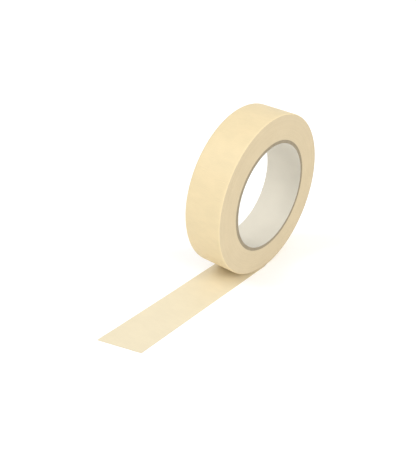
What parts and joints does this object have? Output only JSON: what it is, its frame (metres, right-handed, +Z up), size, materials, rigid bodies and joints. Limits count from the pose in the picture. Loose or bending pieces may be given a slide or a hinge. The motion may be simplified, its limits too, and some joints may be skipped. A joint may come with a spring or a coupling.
{
  "type": "masking tape roll",
  "caption": "Roll of cream creped masking tape on a paper core, standing on its rim with a length of tape paid out along the floor.",
  "frame": {"origin": "middle of the core's bore, on the roll's axle", "axes": "+Y along the roll's axle, +Z up, -X the way the paid-out tape runs along the floor"},
  "size_m": [0.2007, 0.0292, 0.1184],
  "materials": {
    "liner_paper": "smooth white paper",
    "kraft_board": "grey-brown kraft board, cut ends",
    "wound_tape": "stacked cut edges of creped paper tape",
    "crepe_backing": "saturated creped paper, satin",
    "adhesive": "tacky rubber adhesive on creped paper, slight gloss"
  },
  "bodies": {
    "strip": {"outer_turn": "crepe_backing", "tail_backing": "crepe_backing", "tail_adhesive": "adhesive"},
    "roll": {"core_liner": "liner_paper", "core_ply_1": "kraft_board", "core_ply_2": "kraft_board", "core_ply_3": "kraft_board", "core_ply_4": "kraft_board", "wound_turns": "wound_tape"},
    "free_end": {"free_end_backing": "crepe_backing", "free_end_adhesive": "adhesive"}
  },
  "joints": [
    {"name": "unwind", "type": "hinge", "parent": "strip", "child": "roll", "pos_m": [0, 0, 0], "axis": [0, 1, 0], "continuous": true},
    {"name": "tail_lift", "type": "hinge", "parent": "strip", "child": "free_end", "pos_m": [-0.064, 0, -0.05908], "axis": [0, 1, 0], "range_deg": [0, 90]}
  ]
}
